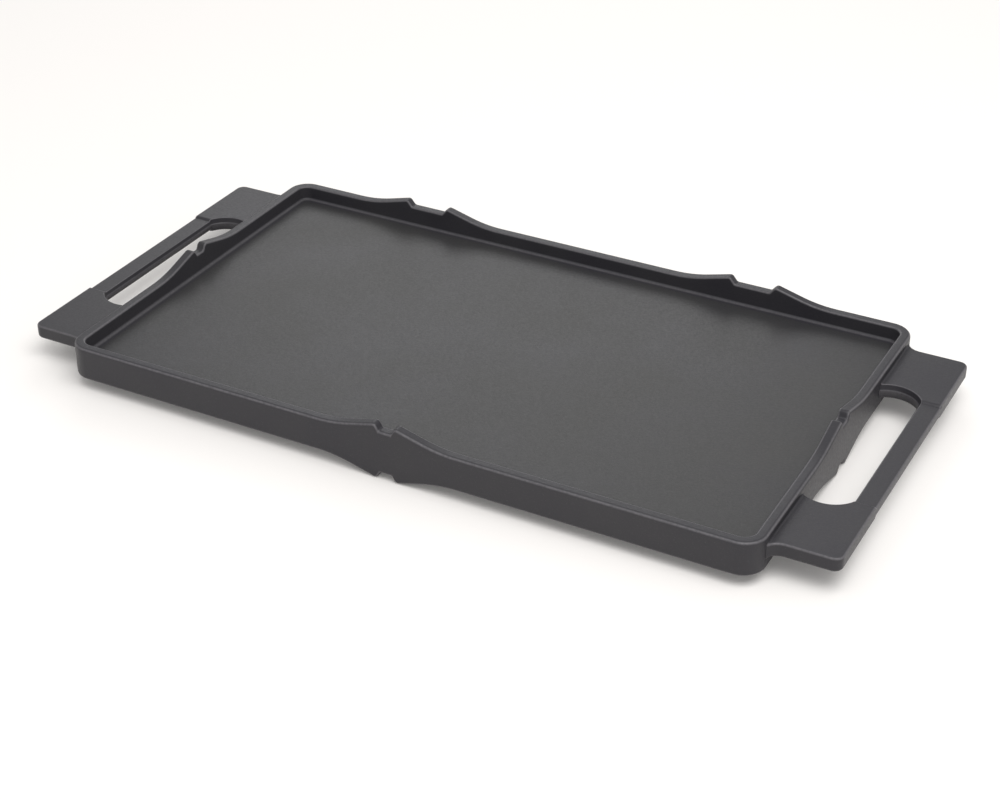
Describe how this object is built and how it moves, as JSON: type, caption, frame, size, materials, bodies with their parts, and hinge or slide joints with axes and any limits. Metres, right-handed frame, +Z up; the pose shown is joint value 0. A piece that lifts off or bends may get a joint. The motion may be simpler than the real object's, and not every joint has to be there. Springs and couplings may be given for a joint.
{
  "type": "griddle plate",
  "caption": "Rectangular cast griddle plate with a low notched rim and a flat loop handle at each end, for use over a cooktop.",
  "frame": {"origin": "centre of the surface that the griddle stands on, below the middle of the plate", "axes": "+X towards the right handle, +Y from the front to the back, +Z up"},
  "size_m": [0.533, 0.2656, 0.0364],
  "materials": {
    "cooking_surface": "dark grey matte non-stick coating on cast aluminium",
    "coated_casting": "dark grey satin non-stick coating on cast aluminium"
  },
  "bodies": {
    "root": {"cooking_plate": "cooking_surface", "front_rim_left": "coated_casting", "front_rim_right": "coated_casting", "back_rim_left": "coated_casting", "back_rim_middle": "coated_casting", "back_rim_right": "coated_casting", "left_rim_front": "coated_casting", "left_rim_rear": "coated_casting", "right_rim_front": "coated_casting", "right_rim_rear": "coated_casting", "front_grate_rest": "coated_casting", "back_left_grate_rest": "coated_casting", "back_right_grate_rest": "coated_casting", "left_grate_rest": "coated_casting", "right_grate_rest": "coated_casting", "left_handle_front_tab": "coated_casting", "left_handle_rear_tab": "coated_casting", "right_handle_front_tab": "coated_casting", "right_handle_rear_tab": "coated_casting", "left_grip_bar": "coated_casting", "right_grip_bar": "coated_casting"}
  },
  "joints": []
}
